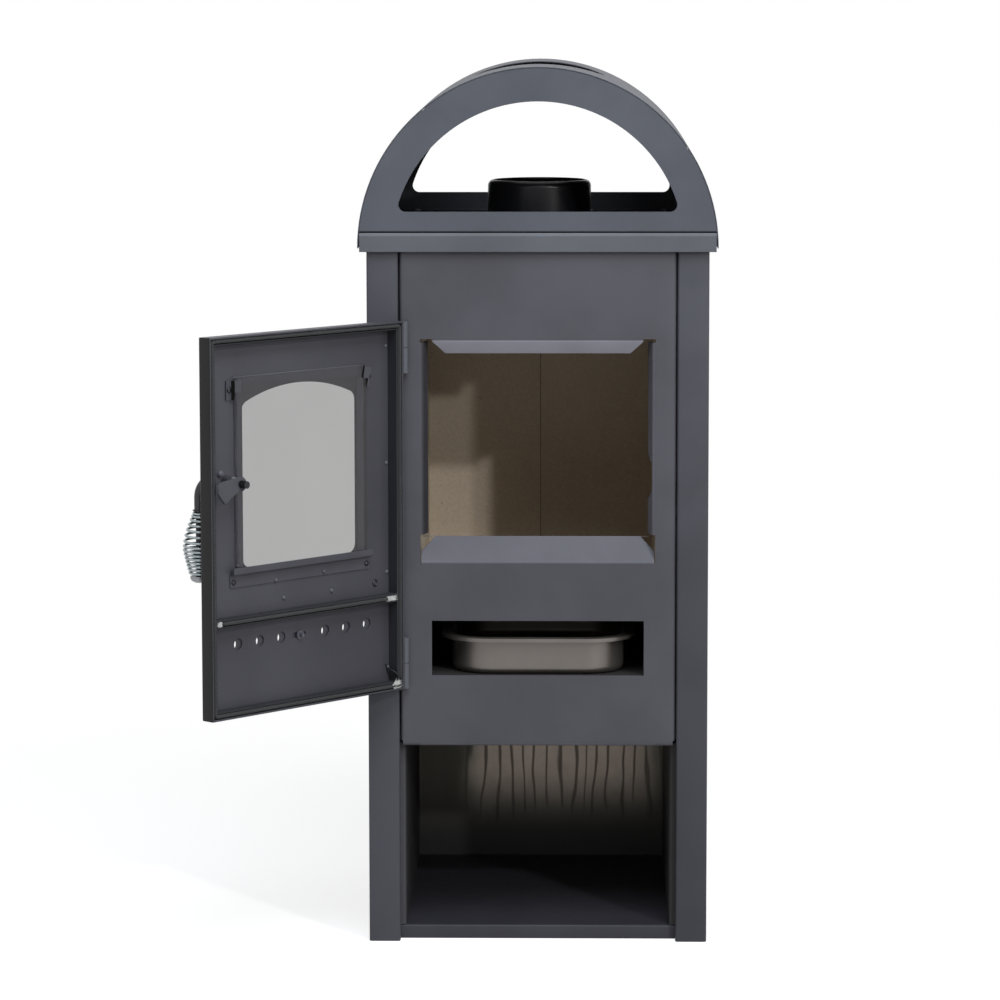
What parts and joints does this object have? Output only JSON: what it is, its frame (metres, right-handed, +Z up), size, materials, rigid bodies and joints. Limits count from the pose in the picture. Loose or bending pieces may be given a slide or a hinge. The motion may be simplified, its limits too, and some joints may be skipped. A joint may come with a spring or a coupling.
{
  "type": "wood-burning stove",
  "caption": "Free-standing sheet-steel wood stove with glazed door, ash pan, wood niche below and a half-round canopy over the flue collar.",
  "frame": {"origin": "on the floor, in the middle of the cabinet's width and depth", "axes": "+X to the right and +Z up as seen from the front, which faces -Y"},
  "size_m": [0.5797, 0.6411, 0.9827],
  "materials": {
    "base_plate": "powder-coated anthracite, fine texture",
    "base_rib": "powder-coated anthracite, fine texture",
    "side_panel_left": "powder-coated anthracite, fine texture",
    "side_panel_right": "powder-coated anthracite, fine texture",
    "rear_panel": "powder-coated anthracite, fine texture",
    "rear_screws": "zinc plated",
    "front_plate": "powder-coated anthracite, fine texture",
    "top_plate": "powder-coated anthracite, fine texture",
    "niche_side_left": "powder-coated anthracite, fine texture",
    "niche_side_right": "powder-coated anthracite, fine texture",
    "niche_ceiling": "powder-coated anthracite, fine texture",
    "firebox_shell": "bare sheet darkened by heat",
    "firebox_brackets": "bare sheet darkened by heat",
    "hearth_plate": "bare sheet darkened by heat",
    "lining_left": "fired clay, rough",
    "lining_right": "fired clay, rough",
    "lining_back_left": "fired clay, rough",
    "lining_back_right": "fired clay, rough",
    "floor_bricks": "fired clay, rough",
    "baffle_plate": "pressed mineral board",
    "flue_collar": "black heat-resistant paint, satin",
    "collar_bolts": "zinc plated",
    "canopy_front": "powder-coated anthracite, fine texture",
    "canopy_rear": "powder-coated anthracite, fine texture",
    "canopy_roof": "powder-coated anthracite, fine texture",
    "canopy_screws": "zinc plated",
    "hinge_barrels_cabinet": "powder-coated anthracite, fine texture",
    "hinge_pins": "zinc plated",
    "hinge_washers": "plain",
    "grate": "as cast",
    "ash_pan": "drawn stainless sheet, satin",
    "door_skin": "powder-coated anthracite, fine texture",
    "rope_channel": "powder-coated anthracite, fine texture",
    "rope_seal": "braided glass fibre, dark grey",
    "divider_rope": "braided glass fibre, dark grey",
    "glass_seal": "woven tape, dark grey",
    "glass_pane": "ceramic glass, clear",
    "glass_clips": "zinc plated",
    "clip_screws": "zinc plated",
    "glass_ledge": "powder-coated anthracite, fine texture",
    "ledge_screws": "zinc plated",
    "door_rivets": "zinc plated",
    "hinge_barrels_door": "powder-coated anthracite, fine texture",
    "latch_bush": "zinc plated",
    "bush_rivet": "zinc plated",
    "slide_guides": "powder-coated anthracite, fine texture",
    "guide_rivets": "zinc plated",
    "lever_rod": "black heat-resistant paint, satin",
    "latch_cam": "dull plated steel",
    "grip_spring": "nickel plated",
    "grip_washer": "zinc plated",
    "grip_cap": "nickel plated",
    "air_slide": "powder-coated anthracite, fine texture",
    "slide_knob": "black heat-resistant paint, satin",
    "slide_screw": "zinc plated"
  },
  "bodies": {
    "cabinet": {"base_plate": "base_plate", "base_rib": "base_rib", "side_panel_left": "side_panel_left", "side_panel_right": "side_panel_right", "rear_panel": "rear_panel", "rear_screws": "rear_screws", "front_plate": "front_plate", "top_plate": "top_plate", "niche_side_left": "niche_side_left", "niche_side_right": "niche_side_right", "niche_ceiling": "niche_ceiling", "firebox_shell": "firebox_shell", "firebox_brackets": "firebox_brackets", "hearth_plate": "hearth_plate", "lining_left": "lining_left", "lining_right": "lining_right", "lining_back_left": "lining_back_left", "lining_back_right": "lining_back_right", "floor_bricks": "floor_bricks", "baffle_plate": "baffle_plate", "flue_collar": "flue_collar", "collar_bolts": "collar_bolts", "canopy_front": "canopy_front", "canopy_rear": "canopy_rear", "canopy_roof": "canopy_roof", "canopy_screws": "canopy_screws", "hinge_barrels_cabinet": "hinge_barrels_cabinet", "hinge_pins": "hinge_pins", "hinge_washers": "hinge_washers"},
    "door": {"door_skin": "door_skin", "rope_channel": "rope_channel", "rope_seal": "rope_seal", "divider_rope": "divider_rope", "glass_seal": "glass_seal", "glass_pane": "glass_pane", "glass_clips": "glass_clips", "clip_screws": "clip_screws", "glass_ledge": "glass_ledge", "ledge_screws": "ledge_screws", "door_rivets": "door_rivets", "hinge_barrels_door": "hinge_barrels_door", "latch_bush": "latch_bush", "bush_rivet": "bush_rivet", "slide_guides": "slide_guides", "guide_rivets": "guide_rivets"},
    "latch": {"lever_rod": "lever_rod", "latch_cam": "latch_cam", "grip_spring": "grip_spring", "grip_washer": "grip_washer", "grip_cap": "grip_cap"},
    "air_slide": {"air_slide": "air_slide", "slide_knob": "slide_knob", "slide_screw": "slide_screw"},
    "grate": {"grate": "grate"},
    "ash_pan": {"ash_pan": "ash_pan"}
  },
  "joints": [
    {"name": "door_hinge", "type": "hinge", "parent": "cabinet", "child": "door", "pos_m": [-0.1485, -0.206, 0.5], "axis": [0, 0, -1], "range_deg": [-132, 2]},
    {"name": "latch_turn", "type": "hinge", "parent": "door", "child": "latch", "pos_m": [-0.31902, -0.40435, 0.545], "axis": [0.7431, -0.6691, 0], "range_deg": [0, 90]},
    {"name": "air_slide_move", "type": "slide", "parent": "door", "child": "air_slide", "axis": [0.6691, 0.7431, 0], "range_m": [-0.0075, 0.0065]},
    {"name": "ash_pan_slide", "type": "slide", "parent": "cabinet", "child": "ash_pan", "axis": [0, -1, 0], "range_m": [0, 0.25]},
    {"name": "grate_lift", "type": "slide", "parent": "cabinet", "child": "grate", "axis": [0, 0, 1], "range_m": [0, 0.1]}
  ]
}
